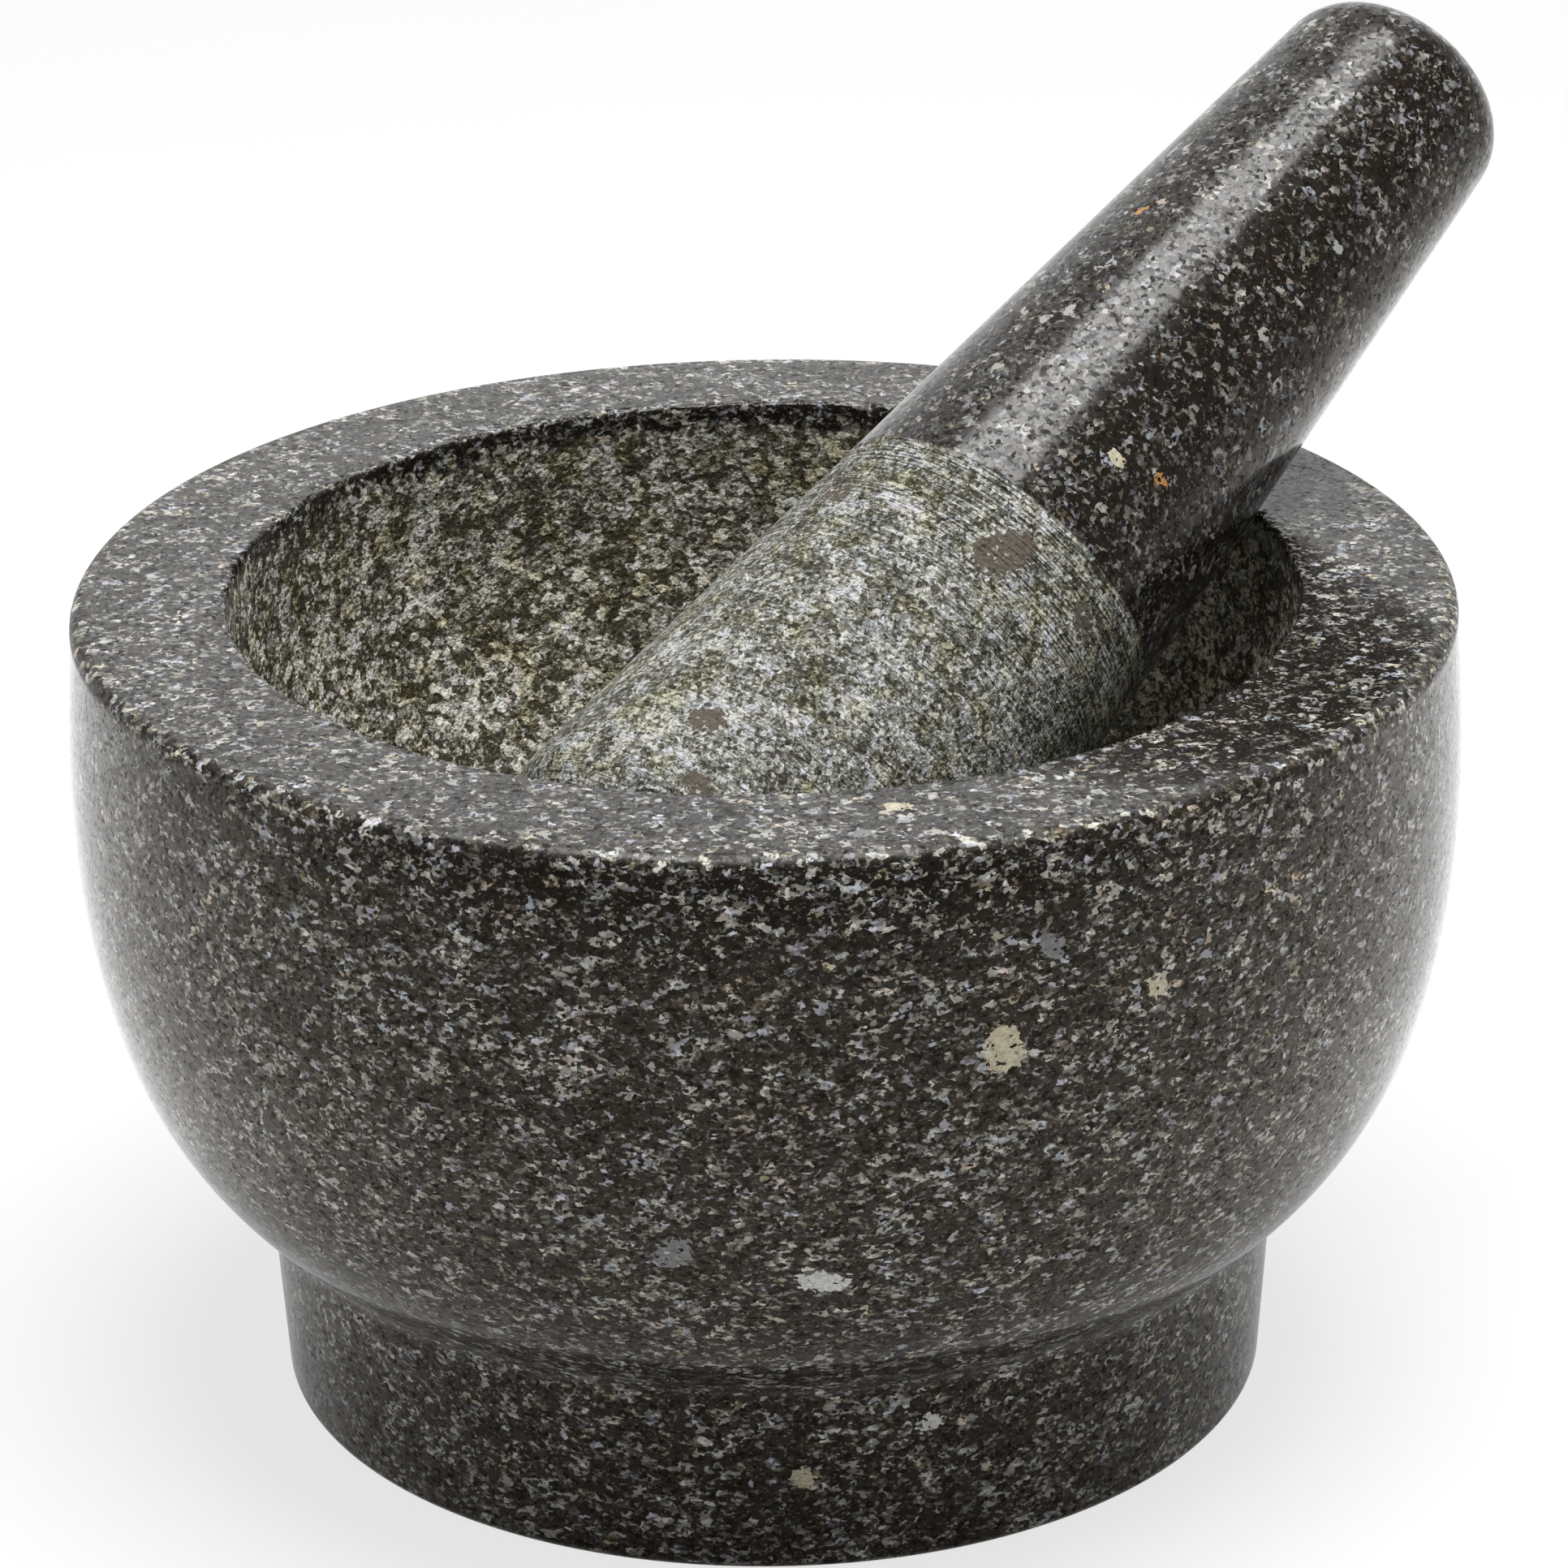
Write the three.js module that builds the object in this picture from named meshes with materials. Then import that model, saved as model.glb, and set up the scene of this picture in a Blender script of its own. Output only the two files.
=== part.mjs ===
// A mortar and its pestle, each turned from one piece of speckled granite: a round bowl on a plain drum
// foot, with the tapered pestle leaning in it. Millimetres, +Z up. The origin is the centre of the foot's
// underside, and the pestle leans back and to the right, over +X and +Y.

import * as THREE from "three";

// Mortar: heights are above the underside of the foot.
const MORTAR_HEIGHT = 108;
const FOOT_HEIGHT = 26.3;
const FOOT_BOTTOM_RADIUS = 64.9;
const FOOT_TOP_RADIUS = 66.6;
const FOOT_EDGE = 1.5;
const CREASE_RADIUS = 65.3;
const CREASE_DROP = 1.2;
const BELLY_LOW_HANDLE = [88, 43];
const BELLY_HIGH_HANDLE = [92.2, 70.4];
const RIM_RADIUS = 89;
const RIM_CORNER = 3;
const MOUTH_RADIUS = 69;
const MOUTH_EDGE = 0.5;
const BOWL_DEPTH = 78;

// Pestle: its own axis is local Z, with 0 at the line where the polished handle meets the rough head.
const PESTLE_LENGTH = 180;
const HANDLE_LENGTH = 101.5;
const LINE_RADIUS = 24.1;
const SIDE_TAPER = THREE.MathUtils.degToRad(4.87);
const TOP_ROUNDING = 9.7;
const HEAD_ROUNDING = 18;
// How full the rounded ends are: how much of the rounding's height still follows the side, and how much of
// the radius the end face keeps nearly flat.
const TOP_SIDE_SHARE = 0.65;
const TOP_FACE_SHARE = 0.52;
const HEAD_SIDE_SHARE = 0.55;
const HEAD_FACE_SHARE = 0.55;

// Where the pestle leans: its finish line lies just above the mouth, right of the bowl's centre. It clears
// the edge of the mouth and the wall of the bowl by about half a millimetre; the real one rests on both.
const LINE_CENTRE = [29.3, 2.2, 108.1];
const LEAN_ELEVATION = THREE.MathUtils.degToRad(28.5);
const LEAN_AZIMUTH = THREE.MathUtils.degToRad(47);

// Facets
const MORTAR_SEGMENTS = 72;
const PESTLE_SEGMENTS = 48;
const BELLY_STEPS = 10;
const BOWL_STEPS = 14;
const CORNER_STEPS = 3;
const END_STEPS = 6;

const stone = (color, roughness) => new THREE.MeshStandardMaterial({ color, roughness, metalness: 0 });

// Joins stretches of curve into one outline, dropping the point that two neighbours share.
function outline(...stretches) {
  const points = [];
  for (const [curve, steps] of stretches) {
    const next = curve.getPoints(steps);
    points.push(...(points.length ? next.slice(1) : next));
  }
  return points;
}

const point = (radius, height) => new THREE.Vector2(radius, height);
const line = (from, to) => [new THREE.LineCurve(from, to), 1];
const bezier = (a, b, c, d, steps) => [new THREE.CubicBezierCurve(a, b, c, d), steps];

function quarter(centre, across, up, from, to, clockwise, steps) {
  const curve = new THREE.EllipseCurve(centre.x, centre.y, across, up, from, to, clockwise);
  return [curve, steps];
}

// Turns an outline about its own axis and stands that axis along Z.
function turned(name, points, segments, material) {
  const geometry = new THREE.LatheGeometry(points, segments).rotateX(Math.PI / 2);
  const mesh = new THREE.Mesh(geometry, material);
  mesh.name = name;
  return mesh;
}

function mortar() {
  const footEdge = point(FOOT_BOTTOM_RADIUS - FOOT_EDGE, FOOT_EDGE);
  const footTop = point(FOOT_TOP_RADIUS, FOOT_HEIGHT - CREASE_DROP);
  const crease = point(CREASE_RADIUS, FOOT_HEIGHT);
  const rimSide = point(RIM_RADIUS, MORTAR_HEIGHT - RIM_CORNER);
  const rimCentre = point(RIM_RADIUS - RIM_CORNER, MORTAR_HEIGHT - RIM_CORNER);
  const mouthCentre = point(MOUTH_RADIUS + MOUTH_EDGE, MORTAR_HEIGHT - MOUTH_EDGE);
  const bowlCentre = point(0, MORTAR_HEIGHT - MOUTH_EDGE);
  const points = outline(
    line(point(0, 0), point(footEdge.x, 0)),
    quarter(footEdge, FOOT_EDGE, FOOT_EDGE, -Math.PI / 2, 0, false, CORNER_STEPS),
    line(point(FOOT_BOTTOM_RADIUS, FOOT_EDGE), footTop),
    line(footTop, crease),
    bezier(crease, point(...BELLY_LOW_HANDLE), point(...BELLY_HIGH_HANDLE), rimSide, BELLY_STEPS),
    quarter(rimCentre, RIM_CORNER, RIM_CORNER, 0, Math.PI / 2, false, CORNER_STEPS),
    line(point(rimCentre.x, MORTAR_HEIGHT), point(mouthCentre.x, MORTAR_HEIGHT)),
    quarter(mouthCentre, MOUTH_EDGE, MOUTH_EDGE, Math.PI / 2, Math.PI, false, CORNER_STEPS),
    quarter(bowlCentre, MOUTH_RADIUS, BOWL_DEPTH - MOUTH_EDGE, 0, -Math.PI / 2, true, BOWL_STEPS),
  );
  return turned("mortar", points, MORTAR_SEGMENTS, stone(0x3a3632, 0.3));
}

function pestle() {
  const side = (height) => point(LINE_RADIUS - Math.tan(SIDE_TAPER) * height, height);
  const foot = HANDLE_LENGTH - PESTLE_LENGTH;
  const headSide = side(foot + HEAD_ROUNDING);
  const topSide = side(HANDLE_LENGTH - TOP_ROUNDING);
  const points = outline(
    bezier(
      point(0, foot),
      point(headSide.x * HEAD_FACE_SHARE, foot),
      side(foot + HEAD_ROUNDING * (1 - HEAD_SIDE_SHARE)),
      headSide,
      END_STEPS,
    ),
    line(headSide, topSide),
    bezier(
      topSide,
      side(HANDLE_LENGTH - TOP_ROUNDING * (1 - TOP_SIDE_SHARE)),
      point(topSide.x * TOP_FACE_SHARE, HANDLE_LENGTH),
      point(0, HANDLE_LENGTH),
      END_STEPS,
    ),
  );
  return turned("pestle", points, PESTLE_SEGMENTS, stone(0x6f6d66, 0.5));
}

function leaning(piece) {
  const lean = new THREE.Group();
  lean.position.set(...LINE_CENTRE);
  lean.rotation.set(0, Math.PI / 2 - LEAN_ELEVATION, LEAN_AZIMUTH, "ZYX");
  lean.add(piece);
  return lean;
}

const part = new THREE.Group();
part.add(mortar(), leaning(pestle()));

export default part;
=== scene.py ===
"""The looks of a granite mortar and its pestle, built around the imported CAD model.

Outlines, reliefs and stone textures are in millimetres, and Blender's objects are in metres.
"""

import math

import bpy
import numpy as np
from mathutils import Matrix, Vector, noise


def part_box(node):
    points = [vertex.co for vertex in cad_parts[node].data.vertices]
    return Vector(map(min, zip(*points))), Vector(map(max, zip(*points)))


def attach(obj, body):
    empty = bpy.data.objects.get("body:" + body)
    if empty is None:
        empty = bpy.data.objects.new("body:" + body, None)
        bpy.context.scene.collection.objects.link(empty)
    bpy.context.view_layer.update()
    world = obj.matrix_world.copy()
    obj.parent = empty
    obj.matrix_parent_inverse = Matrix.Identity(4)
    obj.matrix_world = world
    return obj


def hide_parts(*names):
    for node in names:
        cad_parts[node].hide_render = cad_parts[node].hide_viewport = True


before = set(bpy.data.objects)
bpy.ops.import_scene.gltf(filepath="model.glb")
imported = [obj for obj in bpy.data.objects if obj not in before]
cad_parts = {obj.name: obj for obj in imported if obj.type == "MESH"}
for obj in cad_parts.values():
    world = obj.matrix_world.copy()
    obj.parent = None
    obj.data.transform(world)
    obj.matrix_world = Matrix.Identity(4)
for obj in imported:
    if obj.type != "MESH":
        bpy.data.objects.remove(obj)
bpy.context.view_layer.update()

MM = 0.001
MORTAR_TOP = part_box("mortar")[1].z  # metres

# Mortar: heights are above the underside of the foot.
MORTAR_HEIGHT = MORTAR_TOP / MM
RIM_RADIUS = 89
RIM_CORNER = 2
FOOT_HEIGHT = 26.3
FOOT_BOTTOM_RADIUS = 64.9
FOOT_TOP_RADIUS = 66.6
FOOT_EDGE = 1.5
CREASE_ROUNDING = 2.6
BELLY_LOW_HANDLE = (88, 43)
BELLY_HIGH_HANDLE = (92.2, 70.4)
MOUTH_RADIUS = 69
MOUTH_EDGE = 0.5
BOWL_DEPTH = 78

# Pestle: its own axis is local Z, with 0 at the line where the polished handle meets the rough head.
HANDLE_LENGTH = 101.5
LINE_RADIUS = 24.1
SIDE_SLOPE = math.tan(math.radians(4.87))
# How full the rounded ends are: how much of the rounding's height still follows the side, and how much of
# the radius the end face keeps nearly flat.
TOP_ROUNDING = 9.7
TOP_SIDE_SHARE = 0.65
TOP_FACE_SHARE = 0.52
HEAD_ROUNDING = 18
HEAD_SIDE_SHARE = 0.55
HEAD_FACE_SHARE = 0.55


# ---------------------------------------------------------------- outlines and turned solids

CURVE_SAMPLES = 200
ARC_SAMPLES = 400
FEWEST_SEGMENTS = 16


def curve(points, spacing):
    """The same curve with its points evenly spaced, about spacing apart."""
    points = np.array(points, float)
    steps = np.linalg.norm(np.diff(points, axis=0), axis=1)
    along = np.concatenate([[0], np.cumsum(steps)])
    wanted = np.linspace(0, along[-1], max(2, round(along[-1] / spacing) + 1))
    return np.column_stack([np.interp(wanted, along, points[:, i]) for i in (0, 1)])


def bezier(a, b, c, d, spacing):
    t = np.linspace(0, 1, CURVE_SAMPLES)[:, None]
    a, b, c, d = (np.array(p, float) for p in (a, b, c, d))
    points = a * (1 - t) ** 3 + 3 * b * t * (1 - t) ** 2 + 3 * c * t**2 * (1 - t) + d * t**3
    return curve(points, spacing)


def arc(centre, across, up, start, end, spacing):
    """Part of an ellipse, between two angles in degrees."""
    turn = np.radians(np.linspace(start, end, ARC_SAMPLES))
    points = np.column_stack([centre[0] + across * np.cos(turn), centre[1] + up * np.sin(turn)])
    return curve(points, spacing)


def unit(vector):
    return vector / np.linalg.norm(vector)


def corner(before, at, after, size, spacing):
    """A rounded corner that leaves each side at a distance of size from the corner."""
    at = np.array(at, float)
    start = at + size * unit(np.array(before) - at)
    end = at + size * unit(np.array(after) - at)
    return bezier(start, (start + 2 * at) / 3, (end + 2 * at) / 3, end, spacing)


class Outline:
    """Half of a turned section, from the axis round the outside and back to the axis."""

    def __init__(self):
        self.points = []
        self.facets = []

    def add(self, points, facet):
        """Adds a stretch whose segments round the axis are about facet wide."""
        skip = 1 if len(self.points) else 0
        self.points.extend(points[skip:])
        self.facets.extend([facet] * (len(points) - skip))

    def segments(self):
        """The number of segments of each ring: a power of two, at most doubling from ring to ring."""
        counts = []
        for (radius, _), facet in zip(self.points, self.facets):
            wanted = 2 ** round(math.log2(max(FEWEST_SEGMENTS, 2 * math.pi * radius / facet)))
            if counts:
                wanted = min(max(wanted, counts[-1] // 2), counts[-1] * 2)
            counts.append(wanted)
        return counts


def strip(a, count_a, b, count_b):
    """Faces between two rings, which start at vertices a and b."""
    if count_a == count_b:
        turns = [(k, (k + 1) % count_a) for k in range(count_a)]
        return [(a + k, a + n, b + n, b + k) for k, n in turns]
    faces = []
    for k in range(min(count_a, count_b)):
        if count_b > count_a:
            near, far = a + k, a + (k + 1) % count_a
            first, middle, last = (b + (2 * k + i) % count_b for i in range(3))
            faces += [(near, middle, first), (near, far, middle), (far, last, middle)]
        else:
            near, far = b + k, b + (k + 1) % count_b
            first, middle, last = (a + (2 * k + i) % count_a for i in range(3))
            faces += [(first, middle, near), (middle, far, near), (middle, last, far)]
    return faces


def turned_faces(counts):
    """Faces from a first point on the axis, over rings of so many vertices, to a last point on the axis."""
    starts = [1 + sum(counts[:i]) for i in range(len(counts) + 1)]
    first, end, last = starts[0], starts[-2], starts[-1]
    faces = [(0, first + (k + 1) % counts[0], first + k) for k in range(counts[0])]
    for i in range(len(counts) - 1):
        faces += strip(starts[i], counts[i], starts[i + 1], counts[i + 1])
    return faces + [(end + k, end + (k + 1) % counts[-1], last) for k in range(counts[-1])]


def turned(name, outline, relief, placement):
    """A closed solid turned about an axis. relief moves its points and says how rough the stone is there.

    The points keep their place in the stone, in millimetres from the solid's own origin, as an attribute
    for the material. placement puts the solid in the world.
    """
    rings = np.array(outline.points)[1:-1]
    counts = outline.segments()[1:-1]
    along = np.concatenate([[0], np.cumsum(np.linalg.norm(np.diff(rings, axis=0), axis=1))])
    tangent = np.gradient(rings, axis=0)
    normal = np.column_stack([tangent[:, 1], -tangent[:, 0]])
    normal /= np.linalg.norm(normal, axis=1)[:, None]
    ring = np.repeat(np.arange(len(counts)), counts)
    angle = np.concatenate([np.arange(n) * 2 * math.pi / n for n in counts])
    moved, rough = relief(rings[ring], angle, normal[ring], along[ring])
    radius, height = (rings[ring] + moved).T
    around = np.column_stack([radius * np.cos(angle), radius * np.sin(angle), height])
    first, last = outline.points[0], outline.points[-1]
    points = np.vstack([[0, 0, first[1]], around, [0, 0, last[1]]])
    rough = np.concatenate([rough[:1], rough, rough[-1:]])
    mesh = bpy.data.meshes.new(name)
    mesh.from_pydata((points * MM).tolist(), [], turned_faces(counts))
    mesh.transform(placement)
    mesh.shade_smooth()
    mesh.attributes.new("rough", "FLOAT", "POINT").data.foreach_set("value", rough.astype(np.float32))
    stone = mesh.attributes.new("stone", "FLOAT_VECTOR", "POINT")
    stone.data.foreach_set("vector", points.astype(np.float32).ravel())
    piece = bpy.data.objects.new(name, mesh)
    bpy.context.scene.collection.objects.link(piece)
    return piece


def smooth(low, high, value):
    """0 below low, 1 above high, and a soft step between them."""
    t = np.clip((value - low) / (high - low), 0, 1)
    return t * t * (3 - 2 * t)


def grain(section, angle, size, seed):
    """Noise from -1 to 1 at each point of a turned surface, with bumps about size across."""
    x = section[:, 0] * np.cos(angle) / size
    y = section[:, 0] * np.sin(angle) / size
    z = section[:, 1] / size + seed
    return np.array([noise.noise(p) for p in zip(x.tolist(), y.tolist(), z.tolist())])


# ---------------------------------------------------------------- mortar

# How wide the facets are round the axis
POLISHED_FACET = 2.2
BOWL_FACET = 0.8
EDGE_FACET = 0.42
# How far apart the rings are
UNDERSIDE_SPACING = 4
PLAIN_SPACING = 2.5
BELLY_SPACING = 2
ROUNDING_SPACING = 0.3
LIP_SPACING = 0.25
MOUTH_SPACING = 0.2
# The fine mesh round the mouth, where grains are broken out: a strip of the rim and the top of the wall
LIP_WIDTH = 1.5
WALL_TURN = -2.4  # degrees down the bowl's ellipse

CHIP_DEPTH = 0.75
CHIP_SHARE = 0.7  # of the depth of a chip, both inwards and downwards
CHIP_REACH = (0.2, 2.0)
LIP_DROP = 0.6
BOWL_MARGIN = 1.03  # how far outside the bowl's ellipse still counts as bowl
BOWL_RELIEF = 0.18
BOWL_COARSE = (2.3, 11)  # size and seed
BOWL_FINE = (1.1, 47)
BOWL_STREAKS = (0.85, 61)
STREAK_SQUEEZE = (1, 0.25)
ROUGH_START = (2.5, 4.1)  # where the polish of the rim ends, below the mouth
RING_RELIEF = 0.03
RING_SPACING = 1.3
RINGS_END = (4, 16)
UNDERSIDE_ROUGHNESS = 0.6
FAR = 99


def mortar_outline():
    foot_side = (FOOT_BOTTOM_RADIUS, FOOT_EDGE)
    edge_centre = (FOOT_BOTTOM_RADIUS - FOOT_EDGE, FOOT_EDGE)
    foot_top = (FOOT_TOP_RADIUS, FOOT_HEIGHT)
    crease = corner(foot_side, foot_top, BELLY_LOW_HANDLE, CREASE_ROUNDING, ROUNDING_SPACING)
    rim_side = (RIM_RADIUS, MORTAR_HEIGHT - RIM_CORNER)
    rim_inside = RIM_RADIUS - RIM_CORNER
    lip = (MOUTH_RADIUS + MOUTH_EDGE + LIP_WIDTH, MORTAR_HEIGHT)
    edge = (MOUTH_RADIUS + MOUTH_EDGE, MORTAR_HEIGHT)
    mouth = MORTAR_HEIGHT - MOUTH_EDGE
    bowl = ((0, mouth), MOUTH_RADIUS, BOWL_DEPTH - MOUTH_EDGE)
    belly = bezier(crease[-1], BELLY_LOW_HANDLE, BELLY_HIGH_HANDLE, rim_side, BELLY_SPACING)
    rim_corner = arc((rim_inside, rim_side[1]), RIM_CORNER, RIM_CORNER, 0, 90, ROUNDING_SPACING)
    polished = (
        curve([(0, 0), (edge_centre[0], 0)], UNDERSIDE_SPACING),
        arc(edge_centre, FOOT_EDGE, FOOT_EDGE, -90, 0, ROUNDING_SPACING),
        curve([foot_side, crease[0]], PLAIN_SPACING),
        crease,
        belly,
        rim_corner,
        curve([(rim_inside, MORTAR_HEIGHT), lip], PLAIN_SPACING),
    )
    round_the_mouth = (
        curve([lip, edge], LIP_SPACING),
        arc((edge[0], mouth), MOUTH_EDGE, MOUTH_EDGE, 90, 180, MOUTH_SPACING),
        arc(*bowl, 0, WALL_TURN, ROUNDING_SPACING),
    )
    outline = Outline()
    for stretch in polished:
        outline.add(stretch, POLISHED_FACET)
    for stretch in round_the_mouth:
        outline.add(stretch, EDGE_FACET)
    outline.add(arc(*bowl, WALL_TURN, -90, BOWL_FACET), BOWL_FACET)
    return outline


def mortar_relief(section, angle, normal, along):
    """The bowl is rough, and small grains have broken out of the edge of its mouth."""
    radius, height = section.T
    deep = (MORTAR_HEIGHT - height) / BOWL_DEPTH
    inside = (radius / MOUTH_RADIUS) ** 2 + deep**2 < BOWL_MARGIN
    drop = np.where(inside, MORTAR_HEIGHT - height, 0)
    near_edge = np.abs(height - MORTAR_HEIGHT) + np.abs(radius - MOUTH_RADIUS)
    near_edge = np.where(inside | (height > MORTAR_HEIGHT - LIP_DROP), near_edge, FAR)
    coarse = grain(section, angle, *BOWL_COARSE)
    fine = grain(section, angle, *BOWL_FINE)
    streaks = grain(section * STREAK_SQUEEZE, angle, *BOWL_STREAKS)
    broken = np.clip(streaks * 1.6 + fine * 0.6 - 0.1, 0, 1)
    chips = CHIP_DEPTH * broken * (1 - smooth(*CHIP_REACH, near_edge))
    rough = smooth(*ROUGH_START, drop + 0.7 * coarse + 2.2 * streaks)
    rings = RING_RELIEF * np.sin(along * 2 * math.pi / RING_SPACING) * (1 - smooth(*RINGS_END, drop))
    out = (BOWL_RELIEF * (0.6 * coarse + 0.4 * fine) + rings) * rough
    moved = normal * out[:, None]
    moved += np.column_stack([chips, -chips]) * CHIP_SHARE
    underside = height < 0.01
    return moved, np.where(underside, UNDERSIDE_ROUGHNESS, rough)


# ---------------------------------------------------------------- pestle

HANDLE_FACET = 1.2
HANDLE_SPACING = 2.5
TOP_SPACING = 0.6
HEAD_FACET = 0.62
# The fine mesh on both sides of the finish line, for its step and grooves
LINE_BELOW = -8
LINE_ABOVE = 0.6
LINE_SPACING = 0.12

HEAD_RELIEF = 0.07
HEAD_STEP = 0.08  # how much lower the head is than the handle
HEAD_COARSE = (1.9, 5)  # size and seed
HEAD_FINE = (0.9, 29)
HEAD_BROAD = (9, 71)
# Turned grooves next to the line: place, depth and width
GROOVES = ((-0.5, 0.16, 0.3), (-1.5, 0.08, 0.22), (-2.3, 0.06, 0.2), (-3.6, 0.05, 0.25), (-5.1, 0.04, 0.2))


def pestle_placement():
    """Where the CAD pestle stands, with its origin at the finish line, and its length in millimetres."""
    vertices = np.array([v.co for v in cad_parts["pestle"].data.vertices])
    vertices = np.unique(np.round(vertices, 6), axis=0)
    centre = vertices.mean(axis=0)
    axis = np.linalg.svd(vertices - centre, full_matrices=False)[2][0]
    axis = axis * np.sign(axis[2])
    along = (vertices - centre) @ axis
    line = centre + axis * (along.max() - HANDLE_LENGTH * MM)
    turn = Vector(axis).to_track_quat("Z", "Y").to_matrix().to_4x4()
    return Matrix.Translation(line) @ turn, (along.max() - along.min()) / MM


def pestle_outline(length):
    def side(height):
        return np.array([LINE_RADIUS - SIDE_SLOPE * height, height])

    foot = HANDLE_LENGTH - length
    head_side = side(foot + HEAD_ROUNDING)
    head_in = (head_side[0] * HEAD_FACE_SHARE, foot)
    head_out = side(foot + HEAD_ROUNDING * (1 - HEAD_SIDE_SHARE))
    top_side = side(HANDLE_LENGTH - TOP_ROUNDING)
    top_out = side(HANDLE_LENGTH - TOP_ROUNDING * (1 - TOP_SIDE_SHARE))
    top_in = (top_side[0] * TOP_FACE_SHARE, HANDLE_LENGTH)
    outline = Outline()
    outline.add(bezier((0, foot), head_in, head_out, head_side, HEAD_FACET), HEAD_FACET)
    outline.add(curve([head_side, side(LINE_BELOW)], HEAD_FACET), HEAD_FACET)
    outline.add(curve([side(LINE_BELOW), side(LINE_ABOVE)], LINE_SPACING), HEAD_FACET)
    outline.add(curve([side(LINE_ABOVE), top_side], HANDLE_SPACING), HANDLE_FACET)
    outline.add(bezier(top_side, top_out, top_in, (0, HANDLE_LENGTH), TOP_SPACING), HANDLE_FACET)
    return outline


def pestle_relief(section, angle, normal, along):
    """The head is rough and a little lower than the handle, with turned grooves next to the line."""
    height = section[:, 1]
    coarse = grain(section, angle, *HEAD_COARSE)
    fine = grain(section, angle, *HEAD_FINE)
    broad = grain(section, angle, *HEAD_BROAD)
    head = 1 - smooth(-0.25, 0.05, height + 0.15 * coarse)
    out = head * (HEAD_RELIEF * (0.5 * coarse + 0.5 * fine) - HEAD_STEP)
    for place, depth, width in GROOVES:
        cut = np.exp(-(((height - place) / width) ** 2))
        out -= head * depth * cut * np.clip(0.7 + 1.2 * broad, 0.15, 1)
    return normal * out[:, None], head


# ---------------------------------------------------------------- node helpers


class Shader:
    """Adds nodes to a tree. An input may be a plain value or another node's output."""

    def __init__(self, tree):
        self.tree = tree
        tree.nodes.clear()

    def add(self, kind, inputs=None, **settings):
        node = self.tree.nodes.new("ShaderNode" + kind)
        for name, value in settings.items():
            setattr(node, name, value)
        for name, value in (inputs or {}).items():
            self.connect(node.inputs[name], value)
        return node

    def connect(self, socket, value):
        if isinstance(value, bpy.types.NodeSocket):
            self.tree.links.new(value, socket)
        else:
            socket.default_value = value

    def math(self, operation, a, b=0.0, c=0.0, clamp=False):
        inputs = {0: a, 1: b, 2: c}
        return self.add("Math", inputs, operation=operation, use_clamp=clamp).outputs[0]

    def times(self, a, b):
        return self.math("MULTIPLY", a, b)

    def vector(self, operation, a, b=(0, 0, 0)):
        node = self.add("VectorMath", {0: a, 1: b}, operation=operation)
        return node.outputs["Value" if operation in ("DOT_PRODUCT", "LENGTH") else "Vector"]

    def scaled(self, vector, scale):
        return self.add("VectorMath", {0: vector, 3: scale}, operation="SCALE").outputs[0]

    def height(self, vector):
        return self.add("SeparateXYZ", {0: vector}).outputs["Z"]

    def step(self, value, low, high, bottom=0.0, top=1.0, kind="SMOOTHSTEP"):
        names = ("Value", "From Min", "From Max", "To Min", "To Max")
        inputs = dict(zip(names, (value, low, high, bottom, top)))
        return self.add("MapRange", inputs, interpolation_type=kind).outputs[0]

    def grey(self, value):
        """The colour whose red, green and blue all are the value."""
        return self.add("CombineColor", dict.fromkeys((0, 1, 2), value)).outputs[0]

    def mix(self, share, a, b, blend="MIX"):
        node = self.add("Mix", data_type="RGBA", blend_type=blend)
        self.connect(node.inputs[0], share)
        self.connect(node.inputs[6], a)
        self.connect(node.inputs[7], b)
        return node.outputs[2]

    def tinted(self, share, color, tint):
        return self.mix(share, color, tint, "MULTIPLY")

    def ramp(self, value, stops):
        node = self.add("ValToRGB", {"Fac": value})
        elements = node.color_ramp.elements
        while len(elements) < len(stops):
            elements.new(0.5)
        for element, (place, color) in zip(elements, stops):
            element.position = place
            element.color = (*color, 1)
        return node.outputs["Color"]

    def noise(self, place, size, detail=2.0, output="Fac"):
        inputs = {"Vector": place, "Scale": 1 / size, "Detail": detail}
        return self.add("TexNoise", inputs).outputs[output]

    def cells(self, place, size):
        """Three random numbers for each crystal, in crystals about size across."""
        color = self.add("TexVoronoi", {"Vector": place, "Scale": 1 / size}).outputs["Color"]
        return self.add("SeparateColor", {"Color": color}).outputs

    def blended(self, parts, shift):
        """The sum of some values, each with its weight, and a shift."""
        total = shift
        for value, weight in parts:
            total = self.math("MULTIPLY_ADD", value, weight, total)
        return total


# ---------------------------------------------------------------- granite

# Colours of the polished stone and of the rough stone, from the dark matrix up to the palest crystals
POLISHED_TONES = (
    (0.00, (0.0080, 0.0062, 0.0046)),
    (0.52, (0.0140, 0.0115, 0.0088)),
    (0.56, (0.045, 0.041, 0.034)),
    (0.64, (0.135, 0.132, 0.118)),
    (0.74, (0.305, 0.303, 0.290)),
    (0.87, (0.570, 0.563, 0.540)),
)
HANDLE_TONES = (
    (0.00, (0.0060, 0.0046, 0.0034)),
    (0.54, (0.0115, 0.0090, 0.0068)),
    (0.58, (0.026, 0.023, 0.019)),
    (0.66, (0.075, 0.072, 0.066)),
    (0.76, (0.190, 0.187, 0.180)),
    (0.90, (0.380, 0.372, 0.356)),
)
BOWL_TONES = (
    (0.00, (0.0269, 0.0224, 0.0134)),
    (0.36, (0.0392, 0.0337, 0.0206)),
    (0.45, (0.0846, 0.0775, 0.0516)),
    (0.55, (0.206, 0.199, 0.160)),
    (0.66, (0.444, 0.432, 0.382)),
    (0.82, (0.743, 0.724, 0.671)),
)
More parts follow.
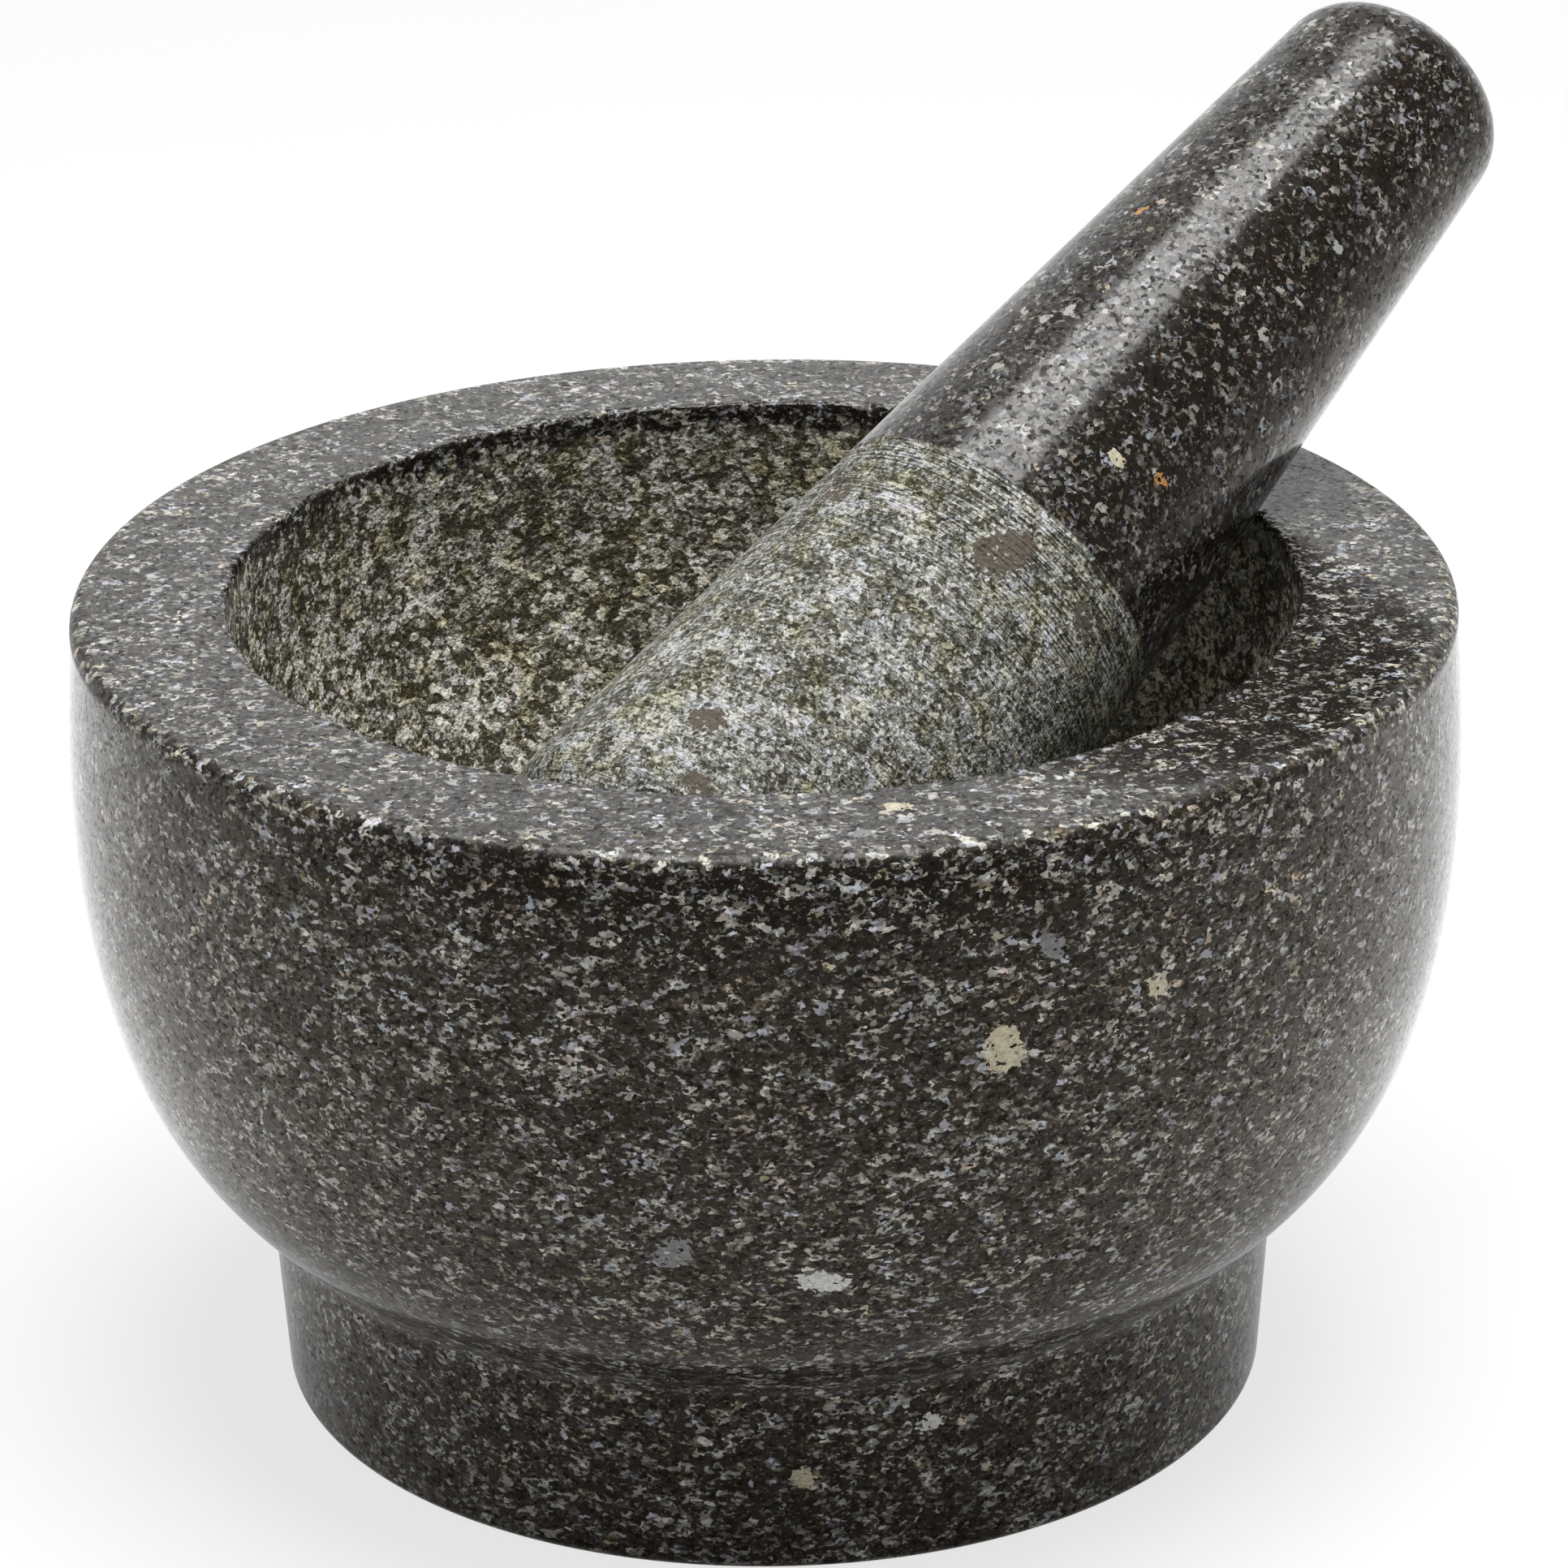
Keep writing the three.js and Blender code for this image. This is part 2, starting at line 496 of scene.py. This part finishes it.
HEAD_TONES = (
    (0.00, (0.0180, 0.0166, 0.0102)),
    (0.28, (0.0330, 0.0310, 0.0195)),
    (0.38, (0.0760, 0.0740, 0.0540)),
    (0.49, (0.152, 0.153, 0.133)),
    (0.60, (0.265, 0.268, 0.251)),
    (0.76, (0.500, 0.502, 0.493)),
)
# What each crystal's colour is multiplied by
TINTS = (
    (0.00, (1.00, 0.97, 0.88)),
    (0.22, (1.02, 1.00, 0.95)),
    (0.50, (1.00, 1.00, 0.94)),
    (0.70, (0.90, 0.97, 1.10)),
    (0.85, (0.99, 0.94, 1.11)),
    (1.00, (1.12, 0.97, 0.72)),
)
DUST = (0.13, 0.128, 0.12, 1)
PALE = (0.32, 0.32, 0.315, 1)
SCRATCH = (0.02, 0.018, 0.01, 1)
OLIVE = (0.90, 0.87, 0.68, 1)
CREAM = (0.44, 0.40, 0.29, 1)
WHITE = (0.52, 0.52, 0.50, 1)
GREY = (0.17, 0.17, 0.175, 1)
BROWN = (0.098, 0.082, 0.064, 1)
ORANGE = (0.36, 0.18, 0.06, 1)

# The largest crystals: azimuth in degrees; radius and height; half sizes across, deep and up; tilt in
# degrees; colour.
MORTAR_CRYSTALS = (
    (-72, 90, 81.6, 2.4, 8, 2.9, 20, CREAM),
    (-86, 84, 50.4, 3.4, 8, 1.4, -12, WHITE),
    (-98, 86, 55.1, 2.4, 8, 2.0, 30, GREY),
    (-68, 90, 93.6, 1.7, 8, 1.3, -30, GREY),
    (-59, 90, 85.8, 1.3, 8, 1.6, 15, CREAM),
    (-78, 75.5, 108, 1.7, 1.2, 3, 0, CREAM),
    (-82, 82.6, 108, 1.6, 1.2, 3, 0, GREY),
    (-73, 66, 19.9, 1.7, 6, 1.2, 10, WHITE),
    (-87, 66, 13.5, 1.5, 6, 1.3, -25, CREAM),
    (140, 88, 62, 2.6, 8, 1.7, 25, CREAM),
    (28, 89, 84, 2.2, 8, 2.0, -15, WHITE),
)
PESTLE_CRYSTALS = (
    (132, 25, -8.8, 4.4, 8, 2.7, 58, BROWN),
    (74, 25, -12.0, 2.4, 8, 1.5, 20, BROWN),
    (164, 25, -7.2, 2.2, 8, 1.5, -35, BROWN),
    (101, 28, -52.2, 2.3, 8, 1.7, 15, BROWN),
    (111, 29, -61.0, 2.3, 8, 1.3, -10, BROWN),
    (156, 23, 15.2, 1.0, 6, 0.7, 20, ORANGE),
    (82, 20, 48.2, 1.0, 6, 0.6, 50, ORANGE),
    (140, 23, 12.5, 1.3, 6, 0.9, -20, CREAM),
    (290, 25, -18, 2.6, 8, 1.6, 35, BROWN),
)

# offset is where in the endless stone a piece was cut. flatness squeezes the grains along the axis. gloss
# is the range of the polish's roughness. rough_grains weigh the medium, small and tiny grains of the rough
# stone. scratched is how strongly the tool's rings show near the finish line.
MORTAR_STONE = {
    "offset": (0, 0, 0),
    "flatness": 1.35,
    "gloss": (0.06, 0.15),
    "polished_tones": POLISHED_TONES,
    "rough_tones": BOWL_TONES,
    "rough_grains": (0.36, 0.36, 0.2),
    "crystals": MORTAR_CRYSTALS,
    "scratched": 0.0,
}
PESTLE_STONE = {
    "offset": (400, 120, 60),
    "flatness": 1.0,
    "gloss": (0.12, 0.24),
    "polished_tones": HANDLE_TONES,
    "rough_tones": HEAD_TONES,
    "rough_grains": (0.14, 0.38, 0.38),
    "crystals": PESTLE_CRYSTALS,
    "scratched": 1.0,
}

# Sizes of the grains and of the other patterns
LARGE_SIZE = 3.4
MEDIUM_SIZE = 1.4
SMALL_SIZE = 0.6
TINY_SIZE = 0.32
CLOUD_SIZE = 9
STAIN_SIZE = 5
STAIN_OFFSET = (0, 0, 90)
GRIT_SIZE = 0.6
SCRATCH_SIZE = 0.36
SCRATCH_STRETCH = (0.05, 0.05, 1)
SCRATCHED_BAND = (-30, -1)
# How far the noise called bend moves the edges of the grains and of the largest crystals
BEND_SIZE = 0.8
BEND_MIDDLE = (0.5, 0.5, 0.5)
BEND = 0.7
SMALL_BEND = 1.1
CRYSTAL_BEND = 2.4
# Weights of the patterns in the level that picks a tone, and the shift of that level
POLISHED_WEIGHTS = (0.35, 0.44, 0.10, 0.17)
POLISHED_SHIFT = -0.072
ROUGH_WEIGHTS = (0.16, 0.3, 0.65)
ROUGH_SHIFT = 0.255

RIM_EDGE = (RIM_RADIUS - 0.6, MORTAR_HEIGHT - 0.6, 0)
RIM_WEAR_REACH = (2.2, 1.0)
RIM_WEAR_ROUGHNESS = 0.3
CORNER_CUT = 0.68
ROUGH_ROUGHNESS = 0.88
ROUGH_TINT = 0.5  # how much weaker the tints are on rough stone
STONE_IOR = 1.5
POLISH = (0.05, 0.55)  # specular level, which differs from crystal to crystal
BUMP_HEIGHT = 0.45
SCRATCH_BUMP = 1.6


class Patterns:
    """The random patterns of one stone, which its colour and its surface share."""

    def __init__(self, s, offset, flatness, scratched):
        self.stone = s.add("Attribute", attribute_name="stone").outputs["Vector"]
        self.rough = s.add("Attribute", attribute_name="rough").outputs["Fac"]
        self.here = s.vector("ADD", self.stone, offset)
        flat = s.vector("MULTIPLY", self.here, (1, 1, flatness))
        self.bend = s.vector("SUBTRACT", s.noise(flat, BEND_SIZE, 2, "Color"), BEND_MIDDLE)
        place = s.vector("ADD", flat, s.scaled(self.bend, BEND))
        curled = s.vector("ADD", flat, s.scaled(self.bend, SMALL_BEND))
        self.large = s.cells(place, LARGE_SIZE)
        self.medium = s.cells(place, MEDIUM_SIZE)
        self.small = s.cells(curled, SMALL_SIZE)
        self.tiny = s.cells(curled, TINY_SIZE)
        self.cloud = s.noise(self.here, CLOUD_SIZE, 1)
        self.height = s.height(self.stone)
        self.rings = s.noise(s.vector("MULTIPLY", self.here, SCRATCH_STRETCH), SCRATCH_SIZE, 1)
        self.near_line = s.times(s.step(self.height, *SCRATCHED_BAND, 0.35, 1.0), scratched)
        self.ringed = s.times(s.math("SUBTRACT", self.rings, 0.5), self.near_line)
        self.rim_edge = rim_edge(s, self.stone, self.height)


def rim_edge(s, stone, height):
    """1 on the rim's outer edge, 0 away from it."""
    out = s.vector("LENGTH", s.vector("MULTIPLY", stone, (1, 1, 0)))
    section = s.add("CombineXYZ", {0: out, 1: height}).outputs[0]
    return s.step(s.vector("LENGTH", s.vector("SUBTRACT", section, RIM_EDGE)), *RIM_WEAR_REACH)


def polished_color(s, p, tones):
    """The tones by the level of the grains, with a little pale dust and a few pale crystals."""
    parts = zip((p.medium[0], p.small[0], p.large[0], p.cloud), POLISHED_WEIGHTS)
    color = s.ramp(s.blended(parts, POLISHED_SHIFT), tones)
    dust = s.times(s.step(p.tiny[1], 0.90, 0.98), 0.7)
    pale = s.times(s.step(p.medium[2], 0.975, 0.985), s.step(p.small[0], 0.3, 0.5, 0.0, 0.85))
    return s.mix(pale, s.mix(dust, color, DUST), PALE)


def rough_color(s, p, tones, grains):
    values = (p.medium[0], p.small[0], p.tiny[0], p.large[0], p.cloud, p.ringed)
    parts = zip(values, (*grains, *ROUGH_WEIGHTS))
    return s.ramp(s.blended(parts, ROUGH_SHIFT - sum(grains) / 2), tones)


def weathered(s, p, color):
    """The colour with olive stains and dark scratches, both only where the stone is rough."""
    stain = s.step(s.noise(s.vector("ADD", p.here, STAIN_OFFSET), STAIN_SIZE, 2), 0.5, 0.68)
    color = s.mix(s.times(stain, p.rough), color, s.tinted(1.0, color, OLIVE))
    scratch = s.step(p.rings, 0.46, 0.38, 0.0, 0.45)
    return s.mix(s.times(scratch, s.times(p.near_line, p.rough)), color, SCRATCH)


def crystal(s, place, azimuth, radius, height, across, deep, up, tilt):
    """1 inside one brick-shaped crystal with its corners cut off, 0 elsewhere."""
    turn = math.radians(azimuth)
    inputs = {
        "Vector": place,
        "Location": (radius * math.cos(turn), radius * math.sin(turn), height),
        "Rotation": (0, math.radians(tilt), turn - math.pi / 2),
        "Scale": (across, deep, up),
    }
    inside = s.vector("ABSOLUTE", s.add("Mapping", inputs, vector_type="TEXTURE").outputs[0])
    x, y, z = s.add("SeparateXYZ", {0: inside}).outputs
    cut = s.times(s.math("ADD", x, z), CORNER_CUT)
    return s.math("LESS_THAN", s.math("MAXIMUM", s.math("MAXIMUM", x, z), s.math("MAXIMUM", y, cut)), 1)


def with_crystals(s, p, color, crystals):
    """The colour with the largest crystals in it, ragged and broken up by the small grains."""
    place = s.vector("ADD", p.stone, s.scaled(p.bend, CRYSTAL_BEND))
    broken = s.step(p.small[2], 0.12, 0.14)
    clouded = s.grey(s.step(p.tiny[0], 0, 1, 0.7, 1.15, "LINEAR"))
    for *brick, shade in crystals:
        share = s.times(crystal(s, place, *brick), broken)
        color = s.mix(share, color, s.tinted(1.0, shade, clouded))
    return color


def granite(name, offset, flatness, gloss, polished_tones, rough_tones, rough_grains, crystals, scratched):
    """Speckled granite: polished and dark where the rough attribute is 0, frosted and paler where it is 1."""
    material = bpy.data.materials.new(name)
    material.use_nodes = True
    s = Shader(material.node_tree)
    p = Patterns(s, offset, flatness, scratched)
    polished = polished_color(s, p, polished_tones)
    frosted = rough_color(s, p, rough_tones, rough_grains)
    worn = s.times(p.rim_edge, s.step(p.medium[2], 0.6, 0.9, 0.0, 0.6))
    color = s.mix(s.math("MAXIMUM", p.rough, worn), polished, frosted)
    tint_share = s.math("MULTIPLY_ADD", p.rough, -ROUGH_TINT, 1.0)
    color = s.tinted(tint_share, color, s.ramp(p.medium[1], TINTS))
    color = with_crystals(s, p, weathered(s, p, color), crystals)

    polish_roughness = s.step(p.small[1], 0, 1, *gloss, "LINEAR")
    smooth_part = s.math("ADD", polish_roughness, s.times(p.rim_edge, RIM_WEAR_ROUGHNESS))
    more = s.math("SUBTRACT", ROUGH_ROUGHNESS, smooth_part)
    grit = s.math("MULTIPLY_ADD", p.ringed, SCRATCH_BUMP, s.noise(p.here, GRIT_SIZE, 2))
    bump = {"Height": s.times(grit, p.rough), "Distance": BUMP_HEIGHT * MM, "Strength": 1.0}
    inputs = {
        "Base Color": color,
        "Roughness": s.math("MULTIPLY_ADD", p.rough, more, smooth_part),
        "IOR": STONE_IOR,
        "Specular IOR Level": s.step(p.small[2], 0, 0.7, *POLISH, "LINEAR"),
        "Normal": s.add("Bump", bump).outputs["Normal"],
    }
    s.add("OutputMaterial", {"Surface": s.add("BsdfPrincipled", inputs).outputs[0]})
    return material


# ---------------------------------------------------------------- studio

WHITE_LIGHT = (1, 1, 1, 1)
DOME_TOP = 0.2
DOME_HORIZON = 1.6
DOME_FALL = 5.0  # how steeply the dome darkens from the horizon upwards
ROOM_RADIANCE = 0.05
ROOM_TINT = (1.14, 1.0, 0.82, 1)
PAPER_SIDES = 0.55  # how much darker the paper is at the object's sides
FLOOR_SIZE = 6.0
FLOOR_GAP = 0.0002
FLOOR_PAPER = ((0.86, 0.86, 0.86, 1), (0.88, 0.88, 0.88, 1))
FLOOR_PATCH = 60
FLOOR_BOUNCE = 0.8
FLOOR_SHADE = (62, 150, 0.32, 1.0)  # from the foot outwards: two distances, and the brightness at each
FLOOR_GLOW = 0.42  # how much brighter the floor in front is than the dark room, in reflections
FLOOR_GLOW_END = (520, 300)
FLOOR_WHITE = 0.75  # how much of the floor's look is plain white, free of shadow


def surroundings(s, direction, glow=0.0):
    """How bright the studio's reflection is in a direction: white paper behind the object, darker at its
    sides above the floor, and a dark room on the camera's side. Whatever is not paper is a little warm."""
    transform = {"vector_type": "VECTOR", "convert_from": "CAMERA", "convert_to": "WORLD"}
    viewer = s.add("VectorTransform", {"Vector": (0, 0, -1)}, **transform).outputs[0]
    level = s.vector("NORMALIZE", s.vector("MULTIPLY", viewer, (1, 1, 0)))
    towards = s.vector("DOT_PRODUCT", direction, level)
    up = s.height(direction)
    middle = s.math("MULTIPLY_ADD", towards, towards, s.times(up, up))
    aside = s.times(s.step(middle, 0.95, 0.7), s.step(up, -0.05, 0.25))
    paper = s.math("SUBTRACT", 1.0, s.times(aside, PAPER_SIDES))
    behind = s.math("POWER", s.step(towards, 0.8, -0.8, 0, 1, "LINEAR"), 1.2)
    bright = s.math("ADD", s.math("MULTIPLY_ADD", behind, paper, ROOM_RADIANCE), glow)
    return s.scaled(s.mix(behind, ROOM_TINT, WHITE_LIGHT), bright)


def make_world():
    """White to the camera, an even soft light on the stones, and the studio in their reflections."""
    world = bpy.data.worlds.new("studio")
    bpy.context.scene.world = world
    world.use_nodes = True
    world.cycles.sampling_method = "NONE"
    s = Shader(world.node_tree)
    direction = s.add("TexCoord").outputs["Generated"]
    path = s.add("LightPath").outputs
    low = s.math("POWER", s.math("SUBTRACT", 1.0, s.height(direction), clamp=True), DOME_FALL)
    soft = s.grey(s.math("MULTIPLY_ADD", low, DOME_HORIZON - DOME_TOP, DOME_TOP))
    light = s.mix(path["Is Diffuse Ray"], surroundings(s, direction), soft)
    light = s.mix(path["Is Camera Ray"], light, WHITE_LIGHT)
    background = s.add("Background", {"Color": light})
    s.add("OutputWorld", {"Surface": background.outputs[0]})


def floor_material():
    """Pale paper to the camera, darker near the foot in its light on the stones and in their reflections."""
    material = bpy.data.materials.new("pale_floor")
    material.use_nodes = True
    material.cycles.emission_sampling = "NONE"
    s = Shader(material.node_tree)
    path = s.add("LightPath").outputs
    here = s.scaled(s.add("TexCoord").outputs["Object"], 1 / MM)
    distance = s.vector("LENGTH", here)
    near = s.step(distance, *FLOOR_SHADE)
    paper = s.mix(s.noise(here, FLOOR_PATCH, 3), *FLOOR_PAPER)
    bounce = s.grey(s.times(s.times(near, near), FLOOR_BOUNCE))
    diffuse = s.add("BsdfDiffuse", {"Color": s.mix(path["Is Camera Ray"], bounce, paper)})
    white = s.add("Emission", {"Strength": 1.0})
    seen = s.times(path["Is Camera Ray"], FLOOR_WHITE)
    shader = s.add("MixShader", {0: seen, 1: diffuse.outputs[0], 2: white.outputs[0]})
    direction = s.scaled(s.add("NewGeometry").outputs["Incoming"], -1.0)
    glow = s.step(distance, *FLOOR_GLOW_END, 0.0, FLOOR_GLOW)
    mirrored = s.add("Emission", {"Color": surroundings(s, direction, glow), "Strength": near})
    shader = s.add("MixShader", {0: path["Is Glossy Ray"], 1: shader.outputs[0], 2: mirrored.outputs[0]})
    s.add("OutputMaterial", {"Surface": shader.outputs[0]})
    return material


def make_floor():
    mesh = bpy.data.meshes.new("floor")
    half = FLOOR_SIZE / 2
    corners = [(-half, -half), (half, -half), (half, half), (-half, half)]
    mesh.from_pydata([(x, y, -FLOOR_GAP) for x, y in corners], [], [(0, 1, 2, 3)])
    mesh.materials.append(floor_material())
    floor = bpy.data.objects.new("floor", mesh)
    bpy.context.scene.collection.objects.link(floor)


# Two round soft boxes above the object: the key only shows in reflections, and the fill only lights.
LIGHT_DISTANCE = 1.05
AREA_LIGHT_FACTOR = 4  # watts for each square metre and unit of radiance
KEY_DIRECTION = (-0.08, -0.03, 0.995)
KEY_SIZE = 0.93
KEY_RADIANCE = 5.6
FILL_DIRECTION = (0.08, -0.05, 0.99)
FILL_SIZE = 0.8
FILL_RADIANCE = 9.5


def make_light(name, direction, size, radiance, mirrored):
    data = bpy.data.lights.new(name, "AREA")
    data.shape = "DISK"
    data.size = size
    data.energy = radiance * AREA_LIGHT_FACTOR * math.pi * (size / 2) ** 2
    light = bpy.data.objects.new(name, data)
    direction = Vector(direction).normalized()
    light.location = Vector((0, 0, MORTAR_TOP)) + direction * LIGHT_DISTANCE
    light.rotation_euler = direction.to_track_quat("Z", "Y").to_euler()
    light.visible_camera = False
    light.visible_diffuse = not mirrored
    light.visible_glossy = mirrored
    bpy.context.scene.collection.objects.link(light)


# Camera: in front of the object and above it, looking down, with a long lens.
CAMERA_PLACE = Vector((0, -824.2, 426.7)) * MM
CAMERA_PITCH = math.radians(22.66)
CAMERA_ROLL = math.radians(-0.81)
CAMERA_LENS = 157.8
CAMERA_SENSOR = 36
CAMERA_SHIFT = (0.0115, -0.0111)


def make_camera():
    data = bpy.data.cameras.new("camera")
    data.sensor_width = CAMERA_SENSOR
    data.lens = CAMERA_LENS
    data.shift_x, data.shift_y = CAMERA_SHIFT
    camera = bpy.data.objects.new("camera", data)
    pitch = Matrix.Rotation(math.pi / 2 - CAMERA_PITCH, 4, "X")
    roll = Matrix.Rotation(CAMERA_ROLL, 4, "Z")
    camera.matrix_world = Matrix.Translation(CAMERA_PLACE) @ pitch @ roll
    bpy.context.scene.collection.objects.link(camera)
    bpy.context.scene.camera = camera


# ---------------------------------------------------------------- the pieces, in place


def put_in_place(piece, node, stone):
    """Gives a piece its granite, and lets it stand for a CAD node and move with that node's body."""
    slot = node + "_granite"
    piece.data.materials.append(granite(slot, **stone))
    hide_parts(node)
    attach(piece, node)


mortar = turned("granite_mortar", mortar_outline(), mortar_relief, Matrix())
put_in_place(mortar, "mortar", MORTAR_STONE)

placement, length = pestle_placement()
pestle = turned("granite_pestle", pestle_outline(length), pestle_relief, placement)
put_in_place(pestle, "pestle", PESTLE_STONE)

make_floor()
make_world()
make_light("key", KEY_DIRECTION, KEY_SIZE, KEY_RADIANCE, mirrored=True)
make_light("fill", FILL_DIRECTION, FILL_SIZE, FILL_RADIANCE, mirrored=False)
make_camera()
bpy.context.scene.view_settings.view_transform = "Standard"
